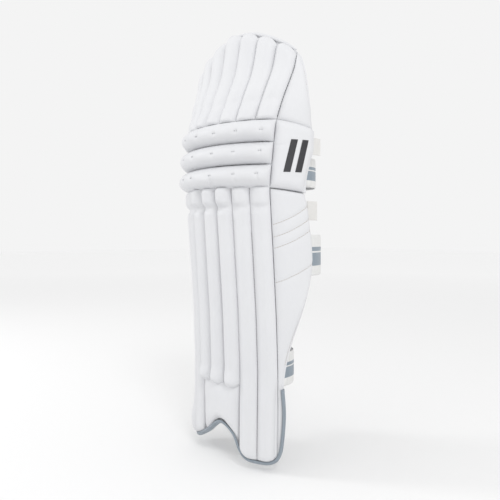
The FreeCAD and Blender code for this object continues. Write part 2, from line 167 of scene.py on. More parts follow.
def skin(reach, height, out=0.0):
    """Points of the pad: reach round it from the centre line, height up it, out from its seams."""
    reach, height, out = np.broadcast_arrays(*(np.asarray(a, float) for a in (reach, height, out)))
    inner_lobe = bell(height - 0.036, 0.030) * smoothstep(-reach, 0.060, 0.105)
    out = out + 0.006 * inner_lobe
    front = np.interp(height, HEIGHTS, FRONT)
    radius = np.interp(height, HEIGHTS, RADIUS)
    half = half_face(height)
    side = np.where(reach < 0, -1.0, 1.0)
    turn = np.minimum(np.abs(reach), half) / radius
    past = np.maximum(np.abs(reach) - half, 0)
    bend = np.where(past > 0, np.where(reach < 0, INNER_BEND, OUTER_BEND), radius)
    centre_x = (radius - bend) * np.sin(turn)
    centre_y = front + radius - (radius - bend) * np.cos(turn)
    angle = turn + past / bend
    straight = np.maximum(angle - math.pi / 2, 0) * bend
    angle = np.minimum(angle, math.pi / 2)
    x = side * (centre_x + (bend + out) * np.sin(angle))
    y = centre_y - (bend + out) * np.cos(angle) + straight
    return np.stack([x, y, height], -1)


def inner_reach(height):
    """Reach at which the inner side comes to its straight rear edge."""
    flat = skin(-half_face(height) - INNER_BEND * 2, height)
    return half_face(height) + INNER_BEND * 2 + REAR_EDGE - flat[..., 1]


def crown(reach):
    """Height of the top edge of the flap, a little lower on the inner side."""
    inner = 0.054 * (np.abs(reach) / 0.1365) ** 1.7 + 0.008 * bell(reach + 0.045, 0.030)
    outer = 0.0025 * bell(reach, 0.030) + 0.050 * (np.abs(reach) / 0.1365) ** 1.85
    return CROWN - np.where(reach < 0, inner, outer)


def thickness(reach, height):
    """Share of the full thickness: the pad thins towards its lower and upper edges."""
    side = 0.131 - np.abs(reach) + 3 * np.maximum(height - 0.095, 0)
    foot = np.clip(np.minimum(height - hem(reach), side) / 0.060, 0, 1)
    top = np.clip((crown(reach) - height) / 0.080, 0, 1)
    return (0.30 + 0.70 * foot ** 0.8) * (0.42 + 0.58 * top ** 0.8)


def soft_noise(a, b, cell, seed):
    """Smooth noise between -1 and 1 over two lengths, one value per cell."""
    cells = 48
    grid = np.random.default_rng(seed).uniform(-1, 1, (cells, cells))
    x, y = np.broadcast_arrays(np.asarray(a, float) / cell, np.asarray(b, float) / cell)
    i, j = np.floor(x).astype(int), np.floor(y).astype(int)
    u, v = x - i, y - j
    u, v = u * u * (3 - 2 * u), v * v * (3 - 2 * v)
    i, j, i1, j1 = i % cells, j % cells, (i + 1) % cells, (j + 1) % cells
    low = grid[i, j] * (1 - u) + grid[i1, j] * u
    high = grid[i, j1] * (1 - u) + grid[i1, j1] * u
    return low * (1 - v) + high * v


# ---- materials ---------------------------------------------------

def new_material(name):
    material = bpy.data.materials.new(name)
    material.use_nodes = True
    nodes = material.node_tree.nodes
    shader = nodes["Principled BSDF"]
    place = nodes.new("ShaderNodeTexCoord")
    return material, nodes, material.node_tree.links, shader, place.outputs["Object"]


def noise_node(nodes, links, vector, scale, detail=4.0, rough=0.55):
    node = nodes.new("ShaderNodeTexNoise")
    node.inputs["Scale"].default_value = scale
    node.inputs["Detail"].default_value = detail
    node.inputs["Roughness"].default_value = rough
    links.new(vector, node.inputs["Vector"])
    return node.outputs["Fac"]


def ramp_node(nodes, links, factor, stops):
    node = nodes.new("ShaderNodeValToRGB")
    ramp = node.color_ramp
    while len(ramp.elements) < len(stops):
        ramp.elements.new(0.5)
    for element, (position, colour) in zip(ramp.elements, stops):
        element.position = position
        element.color = (*colour, 1.0)
    links.new(factor, node.inputs["Fac"])
    return node


def range_node(nodes, links, value, low, high):
    node = nodes.new("ShaderNodeMapRange")
    node.inputs["To Min"].default_value = low
    node.inputs["To Max"].default_value = high
    links.new(value, node.inputs["Value"])
    return node.outputs["Result"]


def bump_node(nodes, links, height, distance, strength, below=None):
    node = nodes.new("ShaderNodeBump")
    node.inputs["Distance"].default_value = distance
    node.inputs["Strength"].default_value = strength
    links.new(height, node.inputs["Height"])
    if below is not None:
        links.new(below, node.inputs["Normal"])
    return node.outputs["Normal"]


def leather(name, colour, shade, roughness=0.56):
    """Coated cloth: a fine pebbled grain, faint stains, and gloss that varies."""
    material, nodes, links, shader, place = new_material(name)
    stain = noise_node(nodes, links, place, 9.0, 5.0)
    tone = ramp_node(nodes, links, stain, [(0.3, shade), (0.7, colour)])
    links.new(tone.outputs["Color"], shader.inputs["Base Color"])
    gloss = noise_node(nodes, links, place, 45.0)
    links.new(range_node(nodes, links, gloss, roughness - 0.08, roughness + 0.1), shader.inputs["Roughness"])
    grain = nodes.new("ShaderNodeTexVoronoi")
    grain.feature = "DISTANCE_TO_EDGE"
    grain.inputs["Scale"].default_value = 850.0
    links.new(place, grain.inputs["Vector"])
    pebbles = bump_node(nodes, links, grain.outputs["Distance"], 0.00012, 0.5)
    creases = noise_node(nodes, links, place, 160.0, 6.0, 0.6)
    links.new(bump_node(nodes, links, creases, 0.0006, 0.35, pebbles), shader.inputs["Normal"])
    shader.inputs["Specular IOR Level"].default_value = 0.35
    return material


def weave_height(nodes, links, place, pitch, across="X"):
    """Height of a plain weave: two crossing sets of threads."""
    waves = []
    for direction in (across, "Z"):
        wave = nodes.new("ShaderNodeTexWave")
        wave.bands_direction = direction
        wave.inputs["Scale"].default_value = 0.314 / pitch
        wave.inputs["Distortion"].default_value = 0.6
        wave.inputs["Detail Scale"].default_value = 2.0
        links.new(place, wave.inputs["Vector"])
        waves.append(wave.outputs["Fac"])
    joined = nodes.new("ShaderNodeMath")
    joined.operation = "MAXIMUM"
    links.new(waves[0], joined.inputs[0])
    links.new(waves[1], joined.inputs[1])
    return joined.outputs["Value"]


def cloth(name, colour, shade, pitch, across="X", roughness=0.85, depth=0.0003):
    material, nodes, links, shader, place = new_material(name)
    weave = weave_height(nodes, links, place, pitch, across)
    fade = noise_node(nodes, links, place, 30.0)
    mix = nodes.new("ShaderNodeMath")
    mix.operation = "MULTIPLY"
    links.new(weave, mix.inputs[0])
    links.new(range_node(nodes, links, fade, 0.6, 1.1), mix.inputs[1])
    # The colour runs from shade in the low parts of the weave to colour on the threads: painted shade between
    # the threads, mixed with a random fading of the threads' own tone.
    tone = ramp_node(nodes, links, mix.outputs["Value"], [(0.1, shade), (0.8, colour)])
    links.new(tone.outputs["Color"], shader.inputs["Base Color"])
    links.new(bump_node(nodes, links, weave, depth, 0.8), shader.inputs["Normal"])
    shader.inputs["Roughness"].default_value = roughness
    shader.inputs["Sheen Weight"].default_value = 0.25
    shader.inputs["Sheen Roughness"].default_value = 0.5
    return material


def webbing(name, middle, width):
    """Woven strap with one narrow and one wide stripe along it."""
    # The darker second colour is painted shade between the threads, also used for random fading.
    material = cloth(name, (0.80, 0.80, 0.79), (0.74, 0.74, 0.73), 0.0011, "X", 0.8, 0.0004)
    nodes, links = material.node_tree.nodes, material.node_tree.links
    shader = nodes["Principled BSDF"]
    place = next(n for n in nodes if n.type == "TEX_COORD").outputs["Object"]
    split = nodes.new("ShaderNodeSeparateXYZ")
    links.new(place, split.inputs["Vector"])
    across = nodes.new("ShaderNodeMapRange")
    across.inputs["From Min"].default_value = middle - width / 2
    across.inputs["From Max"].default_value = middle + width / 2
    links.new(split.outputs["Z"], across.inputs["Value"])
    bands = ramp_node(nodes, links, across.outputs["Result"], [
        (0.0, (0, 0, 0)), (0.24, (1, 1, 1)), (0.56, (0, 0, 0)), (0.60, (1, 1, 1)), (0.70, (0, 0, 0))])
    bands.color_ramp.interpolation = "CONSTANT"
    mix = nodes.new("ShaderNodeMix")
    mix.data_type = "RGBA"
    base = shader.inputs["Base Color"].links[0].from_socket
    plain, striped = (next(s for s in mix.inputs if s.name == letter and s.type == "RGBA") for letter in "AB")
    striped.default_value = (0.26, 0.31, 0.36, 1.0)
    result = next(s for s in mix.outputs if s.type == "RGBA")
    links.new(bands.outputs["Color"], mix.inputs["Factor"])
    links.new(base, plain)
    links.new(result, shader.inputs["Base Color"])
    return material


WHITE_COVER = leather("white_cover", (0.715, 0.72, 0.735), (0.69, 0.695, 0.715))
# For each cloth below, the darker second colour is painted shade between the threads of its weave, also used
# for its random fading.
BLUE_BINDING = cloth("blue_binding", (0.30, 0.345, 0.39), (0.19, 0.225, 0.26), 0.0012, "X", 0.8)
LINING = cloth("lining", (0.62, 0.63, 0.65), (0.48, 0.49, 0.51), 0.0016, "X", 0.9)
TAN_THREAD = cloth("tan_thread", (0.38, 0.30, 0.20), (0.25, 0.19, 0.12), 0.0005)
GREY_THREAD = cloth("grey_thread", (0.45, 0.45, 0.46), (0.30, 0.30, 0.31), 0.0005)
DARK_THREAD = cloth("dark_thread", (0.16, 0.165, 0.18), (0.10, 0.105, 0.12), 0.0005)
TAB_CLOTH = cloth("tab_cloth", (0.80, 0.79, 0.77), (0.70, 0.69, 0.67), 0.0009, "Y")
HOOK_TAPE = cloth("hook_tape", (0.60, 0.60, 0.60), (0.36, 0.36, 0.36), 0.0018, "Y", 0.7, 0.0008)
LOOP_TAPE = cloth("loop_tape", (0.70, 0.70, 0.70), (0.52, 0.52, 0.52), 0.0014, "Y", 0.95, 0.0006)
CANE = leather("cane", (0.55, 0.38, 0.20), (0.42, 0.28, 0.14), 0.6)
BADGE = leather("badge", (0.03, 0.03, 0.035), (0.05, 0.05, 0.055), 0.45)


# ---- meshes ------------------------------------------------------

def add_object(name, data):
    thing = bpy.data.objects.new(name, data)
    bpy.context.scene.collection.objects.link(thing)
    return thing


def link_mesh(name, points, faces, materials):
    mesh = bpy.data.meshes.new(name)
    mesh.from_pydata(points, [], faces)
    mesh.polygons.foreach_set("use_smooth", [True] * len(mesh.polygons))
    for material in materials:
        mesh.materials.append(material)
    mesh.update()
    return add_object(name, mesh)


def quads(index):
    """Faces between the rows and columns of a lattice of point numbers."""
    return np.stack([index[:-1, :-1], index[:-1, 1:], index[1:, 1:], index[1:, :-1]], -1).reshape(-1, 4)


def closed_pad(name, front, back, front_material, back_material=None):
    """A closed mesh from a front and a back lattice of the same size, joined round the edge."""
    rows, cols = front.shape[:2]
    index = np.arange(rows * cols).reshape(rows, cols)
    rim = np.concatenate([index[0, :-1], index[:-1, -1], index[-1, :0:-1], index[:0:-1, 0]])
    after = np.roll(rim, -1)
    shift = rows * cols
    walls = np.stack([after, rim, rim + shift, after + shift], -1)
    front_faces = quads(index)
    back_faces = front_faces[:, ::-1] + shift
    faces = np.concatenate([front_faces, walls, back_faces])
    kinds = np.concatenate([np.zeros(len(front_faces) + len(walls), int), np.ones(len(back_faces), int)])
    points = np.concatenate([front.reshape(-1, 3), back.reshape(-1, 3)])
    materials = [front_material, back_material or front_material]
    piece = link_mesh(name, points.tolist(), faces.tolist(), materials)
    piece.data.polygons.foreach_set("material_index", kinds.astype(np.int32))
    return piece


def closed_rings(name, rings, material):
    """A closed mesh through rings of points, capped at both ends."""
    count, sides = rings.shape[:2]
    index = np.arange(count * sides).reshape(count, sides)
    faces = quads(np.concatenate([index, index[:, :1]], 1)).tolist()
    faces.append(index[0].tolist())
    faces.append(index[-1][::-1].tolist())
    return link_mesh(name, rings.reshape(-1, 3).tolist(), faces, [material])


def tube(name, path, radii, material, sides, up):
    """A closed tube along a path; radii is (across, up) at every point of it."""
    ahead = np.gradient(path, axis=0)
    ahead /= np.linalg.norm(ahead, axis=1, keepdims=True)
    across = np.cross(ahead, up)
    across /= np.linalg.norm(across, axis=1, keepdims=True)
    up = np.cross(across, ahead)
    turns = np.linspace(0, 2 * math.pi, sides, endpoint=False)
    ring = (path[:, None] + across[:, None] * (radii[:, 0, None] * np.cos(turns))[..., None]
            + up[:, None] * (radii[:, 1, None] * np.sin(turns))[..., None])
    return closed_rings(name, ring, material)


def even_spacing(path, pitch):
    """Positions every pitch along a path, with the local direction."""
    path = np.asarray(path, float)
    steps = np.linalg.norm(np.diff(path, axis=0), axis=1)
    along = np.concatenate([[0], np.cumsum(steps)])
    stops = np.arange(pitch / 2, along[-1], pitch)
    where = np.stack([np.interp(stops, along, path[:, k]) for k in range(3)], -1)
    ahead = np.stack([np.interp(stops + 1e-4, along, path[:, k]) for k in range(3)], -1) - where
    ahead /= np.linalg.norm(ahead, axis=1, keepdims=True)
    return stops / along[-1], where, ahead


def stitch_rows(name, rows, material, length, pitch, thick):
    """Thread stitches along rows of (path, outward directions), joined into one piece."""
    points, faces = [], []
    sides = 6
    spread = np.array([-0.5, -0.3, 0.0, 0.3, 0.5]) * length
    lift = np.array([-1.4, 0.3, 0.8, 0.3, -1.4]) * thick
    fat = np.array([0.35, 0.9, 1.0, 0.9, 0.35]) * thick
    turns = np.linspace(0, 2 * math.pi, sides, endpoint=False)
    last = (len(spread) - 1) * sides
    for path, outward in rows:
        share, where, ahead = even_spacing(path, pitch)
        grid = np.linspace(0, 1, len(outward))
        normal = np.stack([np.interp(share, grid, np.asarray(outward)[:, k]) for k in range(3)], -1)
        normal /= np.linalg.norm(normal, axis=1, keepdims=True)
        side = np.cross(ahead, normal)
        for spot, forward, up, across in zip(where, ahead, normal, side):
            start = len(points)
            for shift, rise, radius in zip(spread, lift, fat):
                centre = spot + forward * shift + up * rise
                for turn in turns:
                    wide, tall = radius * math.cos(turn), radius * math.sin(turn)
                    points.append(centre + across * wide + up * tall)
            for ring in range(start, start + last, sides):
                for k in range(sides):
                    a, b = ring + k, ring + (k + 1) % sides
                    faces.append([a, b, b + sides, a + sides])
            faces.append([start + k for k in reversed(range(sides))])
            faces.append([start + last + k for k in range(sides)])
    return link_mesh(name, [tuple(point) for point in points], faces, [material])


def on_skin(reach, height, rise):
    """A path on the padding and the outward direction along it; rise is a function or a number."""
    out = rise(reach, height) if callable(rise) else rise
    path = skin(reach, height, out)
    outward = skin(reach, height, out + 0.01) - path
    return path, outward / np.linalg.norm(outward, axis=-1, keepdims=True)


def sine_spacing(count):
    """Numbers from -1 to 1, closer together near both ends."""
    return np.sin(np.linspace(-math.pi / 2, math.pi / 2, count))


def edge_dense(count, share):
    """Numbers from 0 to 1, closer together near both ends."""
    even = np.linspace(0, 1, count)
    return (1 - share) * even + share * (1 - np.cos(math.pi * even)) / 2


def evaluated_mesh(piece):
    bpy.context.view_layer.update()
    return bpy.data.meshes.new_from_object(piece.evaluated_get(bpy.context.evaluated_depsgraph_get()))


def corner_array(mesh):
    """Places of a mesh's vertices, one row each."""
    place = np.empty(len(mesh.vertices) * 3, np.float32)
    mesh.vertices.foreach_get("co", place)
    return place.reshape(-1, 3)


def swell(piece, cap, voxel):
    """Swell a closed pad as inflated cloth, moving no point further than cap, and keep the result."""
    frames = 20
    remesh = piece.modifiers.new("even_mesh", "REMESH")
    remesh.mode = "VOXEL"
    remesh.voxel_size = voxel
    piece.data = evaluated_mesh(piece)
    piece.modifiers.clear()
    start = corner_array(piece.data)
    inflated = piece.modifiers.new("swell", "CLOTH")
    inflated.settings.use_pressure = True
    inflated.settings.uniform_pressure_force = 4.0
    inflated.settings.effector_weights.gravity = 0
    inflated.point_cache.frame_end = frames
    scene = bpy.context.scene
    for step in range(1, frames + 1):
        scene.frame_set(step)
    end = corner_array(evaluated_mesh(piece))
    piece.modifiers.clear()
    scene.frame_set(1)
    move = end - start
    length = np.linalg.norm(move, axis=1, keepdims=True)
    move *= cap * np.tanh(length / cap) / np.maximum(length, 1e-9)
    piece.data.vertices.foreach_set("co", (start + move).ravel())
    smooth = piece.modifiers.new("smooth", "SUBSURF")
    smooth.levels = 1
    piece.data = evaluated_mesh(piece)
    piece.modifiers.clear()
    piece.data.polygons.foreach_set("use_smooth", [True] * len(piece.data.polygons))


def finish_piece(piece, slot, replaced, body=None, blend=None, fill=None):
    """Hide the CAD nodes a piece stands for and attach it to its body; a piece with a blend only has its
    place baked into its mesh. The material slot is not used.
    """
    if replaced:
        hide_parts(*replaced)
    if blend is not None:
        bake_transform(piece)
    else:
        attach(piece, body)
    return piece


def sew(name, rows, material, length, pitch, thick, **held):
    """Stitches, which stand for no CAD node."""
    finish_piece(stitch_rows(name, rows, material, length, pitch, thick), "cover", [], **held)


def front_cover(name, reach, height, rise):
    """A white cover from the padding's face back to the foam behind it."""
    front = skin(reach, height, rise(reach, height))
    back = skin(reach, height, -RIB_DEPTH * thickness(reach, height))
    return closed_pad(name, front, back, WHITE_COVER)


# ---- shin ribs ---------------------------------------------------

PINCH_HEIGHT = KNEE_FLOOR - 0.033
SHORT_RIBS = (2, 3, 4)


def seam_reach(number, height):
    """Reach of the seam before a rib; the middle ones lie a little to the outer side."""
    even = (number - RIBS / 2) * rib_width(height)
    foot = 0.0030 * (1 - smoothstep(height, 0.100, 0.160)) * (number == RIBS)
    return even + 0.0048 * bell(even + 0.022, 0.062) - foot


def across_rib(index, reach, height):
    """Place across a rib, from -1 at one seam to 1 at the other."""
    left, right = seam_reach(index, height), seam_reach(index + 1, height)
    return np.clip((2 * reach - left - right) / (right - left), -1, 1)


def rib_reach(index, u, height):
    left, right = seam_reach(index, height) + 0.0002, seam_reach(index + 1, height) - 0.0002
    return (left + right) / 2 + u * (right - left) / 2


def rib_foot(index, reach, u):
    """Height of the lower end of a rib: round and overhanging for the short ones."""
    if index in SHORT_RIBS:
        return SHORT_RIB_END + 0.001 + 0.0085 * np.abs(u) ** 2.4 - 0.030 * reach
    return hem(reach) + 0.0045


def shin_rise(index):
    """How far one rib stands out of the seams, over reach and height."""
    short = index in SHORT_RIBS

    def rise(reach, height):
        u = across_rib(index, reach, height)
        foot = height - rib_foot(index, reach, u)
        if short:
            across = 0.0128 * np.clip(1 - np.abs(u) ** 2.0, 0, 1) ** 0.88
            across = across * (1 + 0.28 * bell(foot - 0.013, 0.012))
            ends = round_off(foot, 0.013)
        else:
            across = 0.0086 * np.clip(1 - np.abs(u) ** 3, 0, 1) ** 0.7 * (1 - 0.30 * np.abs(u - 0.05))
            ends = round_off(foot, 0.012)
        ends = ends * round_off(KNEE_FLOOR + 0.002 - height, 0.010)
        depth = 0.55 if index < 5 else 0.34
        pinch = 1 - depth * bell(height - PINCH_HEIGHT - 0.003 * u ** 2, 0.0060)
        pinch = pinch + 0.26 * smoothstep(height, PINCH_HEIGHT, PINCH_HEIGHT + 0.010)
        lumps = 0.06 * soft_noise(height, index * 0.31, 0.050, 11 + index)
        wrinkle = 0.05 * bell(height - PINCH_HEIGHT, 0.024) * soft_noise(height, reach, 0.006, 31 + index)
        base = -0.0010 - 0.0040 * (1 - round_off(foot, 0.005))
        return across * (1 + lumps + wrinkle) * ends * pinch + base
    return rise


def make_shin_ribs():
    for index in range(RIBS):
        u = sine_spacing(27)
        v = edge_dense(170, 0.45)[:, None]
        columns = rib_reach(index, u, 0.2)
        low = rib_foot(index, columns, u) - 0.0012
        height = low + v * (KNEE_FLOOR + 0.0016 - low)
        reach = columns + 0 * height
        name = f"shin_rib_{index + 1}"
        piece = front_cover(name + "_cover", reach, height, shin_rise(index))
        finish_piece(piece, "cover", [name], body="shell", fill=0.9)


def make_rib_stitches():
    """The stitching at the foot of the seam between the two broad ribs."""
    height = np.linspace(0.012, 0.385, 90)
    row = on_skin(seam_reach(RIBS - 1, height), height, 0.0006)
    sew("rib_seam_stitches", [row], GREY_THREAD, 0.0026, 0.0046, 0.0004, body="shell")


make_shin_ribs()
make_rib_stitches()

# ---- instep and bindings -----------------------------------------

INSTEP_LEFT, INSTEP_RIGHT = (float(seam_reach(number, 0.1)) for number in (2, 5))


def instep_top(reach):
    """Top of the plain panel, tucked behind the ends of the short ribs."""
    return SHORT_RIB_END + 0.012 - 0.030 * reach


def instep_rise(reach, height):
    u = (2 * reach - INSTEP_LEFT - INSTEP_RIGHT) / (INSTEP_RIGHT - INSTEP_LEFT)
    across = np.clip(1 - np.abs(u) ** 4, 0, 1) ** 0.6
    ends = round_off(instep_top(reach) - height, 0.030) * round_off(height - hem(reach) - 0.004, 0.022)
    folds = 0.0005 * soft_noise(reach + height, height, 0.017, 51)
    return -0.0045 + (0.0082 + folds) * across * ends


def make_instep():
    columns = INSTEP_LEFT - 0.0012 + edge_dense(60, 0.4) * (INSTEP_RIGHT - INSTEP_LEFT + 0.0024)
    v = edge_dense(50, 0.4)[:, None]
    low = hem(columns) + 0.0004
    height = low + v * (instep_top(columns) - low)
    reach = columns + 0 * height
    piece = front_cover("instep_cover", reach, height, instep_rise)
    swell(piece, 0.0035, 0.004)
    finish_piece(piece, "cover", ["instep_panel"], body="shell", fill=0.5)


def hem_tape_ring(reach, height, inward, depth):
    """Section of the folded tape: round the edge of the pad, with its inside hollow."""
    fold = 0.0052
    outline = [(fold, 0.0006), (fold * 0.5, 0.0014), (0.0004, 0.0008), (-0.0014, -0.0020),
               (-0.0014, -depth + 0.0020), (0.0004, -depth), (fold * 0.5, -depth - 0.0006), (fold, -depth)]
    inner = [(fold - 0.0012, -depth + 0.0012), (0.0012, -depth + 0.0022), (0.0012, -0.0022),
             (fold - 0.0012, -0.0008)]
    return [skin(reach + inward[:, 0] * into, height + inward[:, 1] * into, out)
            for into, out in outline + inner]


def make_foot_binding():
    """A folded tape round the whole lower edge, as deep as the padding."""
    reach, height = HEM_LINE.T
    step = np.stack([np.gradient(reach), np.gradient(height)], -1)
    step /= np.linalg.norm(step, axis=1, keepdims=True)
    inward = np.stack([-step[:, 1], step[:, 0]], -1)
    depth = 0.0085 - 0.0025 * smoothstep(reach, 0.100, 0.125)
    ring = np.stack(hem_tape_ring(reach, height, inward, depth), 1)
    piece = closed_rings("foot_binding_tape", ring[::-1], BLUE_BINDING)
    finish_piece(piece, "binding", ["foot_binding"], body="shell")


def make_strip_stitches():
    """Stitching on the white strips between the outer ribs and the tape."""
    height = np.linspace(0.024, 0.112, 40)
    rows = [on_skin(side * 0.1195, height, -0.0026) for side in (1, -1)]
    sew("foot_strip_stitches", rows, GREY_THREAD, 0.0022, 0.0034, 0.0004, body="shell")


make_instep()
make_foot_binding()
make_strip_stitches()

# ---- knee --------------------------------------------------------

ROLLS = 3
ROLL_PITCH = (KNEE_SEAM - KNEE_FLOOR) / ROLLS
# tacks of each roll from the top: reaches, and height over the middle of the roll
TACKS = (
    ((-0.092, -0.052, -0.011, 0.0285, 0.067, 0.105), -0.001),
    ((-0.098, -0.060, -0.0205, 0.026, 0.064, 0.104), 0.002),
    ((-0.085, -0.055, -0.024, 0.023, 0.065, 0.100), 0.002),
)
# how much flatter each roll gets towards the inner side
ROLL_FLATTER = (0.42, 0.20, 0.05)


def roll_rise(row):
    """How far one roll stands out, over reach and height, and its tacks; row 0 is the top roll."""
    middle = KNEE_SEAM - (row + 0.5) * ROLL_PITCH
    reaches, lift = TACKS[row]
    tacks = [(reach, middle + lift) for reach in reaches]
    lowest = row == ROLLS - 1

    def rise(reach, height):
        v = np.clip((height - middle) / (ROLL_PITCH / 2), -1, 1)
        across = np.clip(1 - np.abs(v) ** 2.2, 0, 1) ** 0.76
        ends = 0.05 + 0.95 * round_off(half_face(height) + 0.0004 - np.abs(reach), 0.019)
        ends = ends * (1 - ROLL_FLATTER[row] * smoothstep(-reach, 0.060, 0.112))
        plump = 0.90 + 0.10 * np.cos(2 * math.pi * (reach + 0.004 * row) / 0.043)
        out = 0.0015 + (ROLL_RISE - 0.0015) * across * ends * (0.97 + 0.03 * plump)
        out = out + 0.0009 * across * soft_noise(reach, row * 0.4, 0.030, 60 + row)
        for spot, level in tacks:
            near, down = reach - spot, height - level
            out = out - 0.0034 * np.exp(-np.sqrt((near / 0.0030) ** 2 + (down / 0.0022) ** 2 + 0.03)) * ends
            below = smoothstep(-down, -0.002, 0.010) if lowest else 0.4
            out = out - 0.0012 * bell(near + 0.12 * down, 0.0020) * bell(down, 0.016) * across * below
            out = out - 0.0011 * bell(near, 0.0085) * across * ends
        if lowest:
            off = reach - 0.021 - 0.20 * (height - middle)
            fold = 0.0024 * np.tanh(off / 0.0009) * np.exp(-np.abs(off) / 0.010)
            out = out - fold * smoothstep(-v, -0.1, 0.4)
        return out
    return rise, tacks


def make_knee_rolls():
    for row in range(ROLLS):
        middle = KNEE_SEAM - (row + 0.5) * ROLL_PITCH
        rise, tacks = roll_rise(row)
        reach_line = (edge_dense(260, 0.30) * 2 - 1) * float(half_face(middle))
        v = sine_spacing(37)[:, None]
        height = middle + v * (ROLL_PITCH / 2 - 0.0002) + 0 * reach_line
        if row == ROLLS - 1:
            rib = 0.0336
            sag = 0.0022 * np.cos(2 * math.pi * (reach_line + 0.002) / rib) * bell(reach_line, 0.115)
            height = height - (sag + 0.0022) * np.clip(-v, 0, 1) ** 2
        reach = reach_line * half_face(height) / half_face(middle)
        front = skin(reach, height, rise(reach, np.maximum(height, middle - ROLL_PITCH / 2 + 0.0002)))
        back = skin(reach, height, -RIB_DEPTH)
        name = f"knee_roll_{row + 1}"
        piece = closed_pad(name + "_cover", front, back, WHITE_COVER)
        finish_piece(piece, "cover", [name, f"knee_core_{row + 1}"], body="shell", fill=0.9)
        rows = []
        for spot, level in tacks:
            line = np.linspace(-0.0034, 0.0034, 5)
            rows.append(on_skin(spot + line, level + 0.06 * line, rise))
        sew(f"knee_tacks_{row + 1}", rows, DARK_THREAD, 0.0016, 0.0040, 0.00065, body="shell")


def make_knee_seams():
    """Dark thread along the seams between the rolls, where they pull tight on the outer side."""
    spans = ((KNEE_SEAM + 0.0005, 0.072, 0.110), (KNEE_SEAM - ROLL_PITCH, 0.090, 0.116),
             (KNEE_SEAM - 2 * ROLL_PITCH, 0.020, 0.112))
    rows = [on_skin(np.linspace(near, far, 40), level, 0.0045) for level, near, far in spans]
    sew("knee_seam_stitches", rows, DARK_THREAD, 0.0020, 0.0034, 0.0004, body="shell")


make_knee_rolls()
make_knee_seams()


def side_panel(name, low, high, near, far, rise, depth, rows=70, cols=60):
    """A panel of the sides; low and high are functions of the share across, near and far of the height."""
    share = edge_dense(cols, 0.55)
    v = edge_dense(rows, 0.55)[:, None]
    height = low(share) + v * (high(share) - low(share))
    reach = near(height) + share * (far(height) - near(height))
    if float(far(0.3)) < 0:
        reach, height = reach[:, ::-1], height[:, ::-1]
    front = skin(reach, height, rise(reach, height))
    rear = skin(reach, height, -depth)
    return closed_pad(name, front, rear, WHITE_COVER, LINING)


def share_across(reach, near, far):
    return np.clip((np.abs(reach) - near) / np.maximum(far - near, 0.002), 0, 1)


def edge_stitches(name, far, low, high, rise, inset, **held):
    """A row of stitches just inside the rear edge of a panel."""
    height = np.linspace(low, high, 60)
    sew(name, [on_skin(far(height) - inset, height, rise)], TAN_THREAD, 0.0022, 0.0036, 0.00035, **held)


KNEE_SIDE_TOP_DROP = 0.014


def knee_side_far(height):
    """Reach of the rear edge of the panel beside the knee."""
    return half_face(KNEE_FLOOR) + 0.065 + 0.015 * np.clip((height - KNEE_FLOOR) / 0.060, 0, 1) ** 1.6


def knee_side_rise(reach, height):
    far = knee_side_far(height)
    share = share_across(reach, half_face(height), far)
    top = KNEE_SEAM + 0.001 - KNEE_SIDE_TOP_DROP * share
    strip = 0.0060
    edges = (round_off(share, 0.16) ** 0.9 * round_off(far - strip - np.abs(reach), 0.014)
             * round_off(top - height, 0.015) * round_off(height - KNEE_FLOOR + 0.001 + 0.008 * share, 0.016))
    fold = 0.0014 * bell(height - 0.521 - 0.012 * share, 0.0022) * bell(share - 0.10, 0.15)
    lumps = 0.0006 * soft_noise(reach, height, 0.028, 71)
    return -0.0020 + 0.0105 * edges - fold * edges + lumps * edges


def inner_panel_rise(low, high):
    def rise(reach, height):
        share = share_across(reach, half_face(height), inner_reach(height))
        edges = (round_off(share, 0.2) * round_off(1 - share, 0.12)
                 * round_off(high - height, 0.010) * round_off(height - low, 0.012))
        return -0.0035 + 0.0035 * edges
    return rise


def inner_panel(name, low, high, gap, rows):
    """A thin panel of the inner side, from a gap behind its seam to the straight rear edge."""
    return side_panel(name, lambda s: low + 0 * s, lambda s: high + 0 * s, lambda h: -half_face(h) - gap,
                      lambda h: -inner_reach(h), inner_panel_rise(low, high), PANEL_DEPTH, rows)


def make_knee_side():
    piece = side_panel("knee_side_outer_cover", lambda s: KNEE_FLOOR - 0.001 - 0.008 * s,
                       lambda s: KNEE_SEAM - KNEE_SIDE_TOP_DROP * s, lambda h: half_face(h) - 0.0002,
                       knee_side_far, knee_side_rise, PANEL_DEPTH)
    finish_piece(piece, "cover", ["knee_side_outer", "knee_side_outer_foam"], body="shell", fill=0.8)
    edge_stitches("knee_side_edge_stitches", knee_side_far, KNEE_FLOOR + 0.002, KNEE_SEAM - 0.020,
                  knee_side_rise, 0.0040, body="shell")
    piece = inner_panel("knee_side_inner_cover", KNEE_FLOOR, KNEE_SEAM - 0.006, 0.0005, 70)
    finish_piece(piece, "cover", ["knee_side_inner", "knee_side_inner_foam"], body="shell", fill=0.7)


def make_badge():
    """Two plain slanted bars in black on the outer side of the knee."""
    level, half_length, half_width, slant = 0.506, 0.026, 0.0052, 0.20
    for number, middle in enumerate((0.148, 0.166), start=1):
        u = np.linspace(-1, 1, 9)
        v = np.linspace(-1, 1, 40)[:, None]
        height = level + half_length * v + 0 * u
        reach = middle + half_width * u + slant * (height - level)
        out = knee_side_rise(reach, height)
        front = skin(reach, height, out + 0.0005)
        back = skin(reach, height, out - 0.0006)
        piece = closed_pad(f"badge_bar_{number}", front, back, BADGE)
        finish_piece(piece, "cover", [], body="shell")


make_knee_side()
make_badge()

# ---- wings -------------------------------------------------------

def wing_far(height):
    """Reach of the rear edge of the outer wing, furthest at its peak."""
    share = np.clip((height - WING_FOOT) / (WING_PEAK - WING_FOOT), 0, 1) ** 1.15
    below = 0.010 + 0.065 * share ** 2 * (3 - 2 * share)
    above = 0.075 - 0.013 * np.clip((height - WING_PEAK) / (KNEE_FLOOR - WING_PEAK), 0, 1) ** 2
    return half_face(height) + np.where(height < WING_PEAK, below, above)


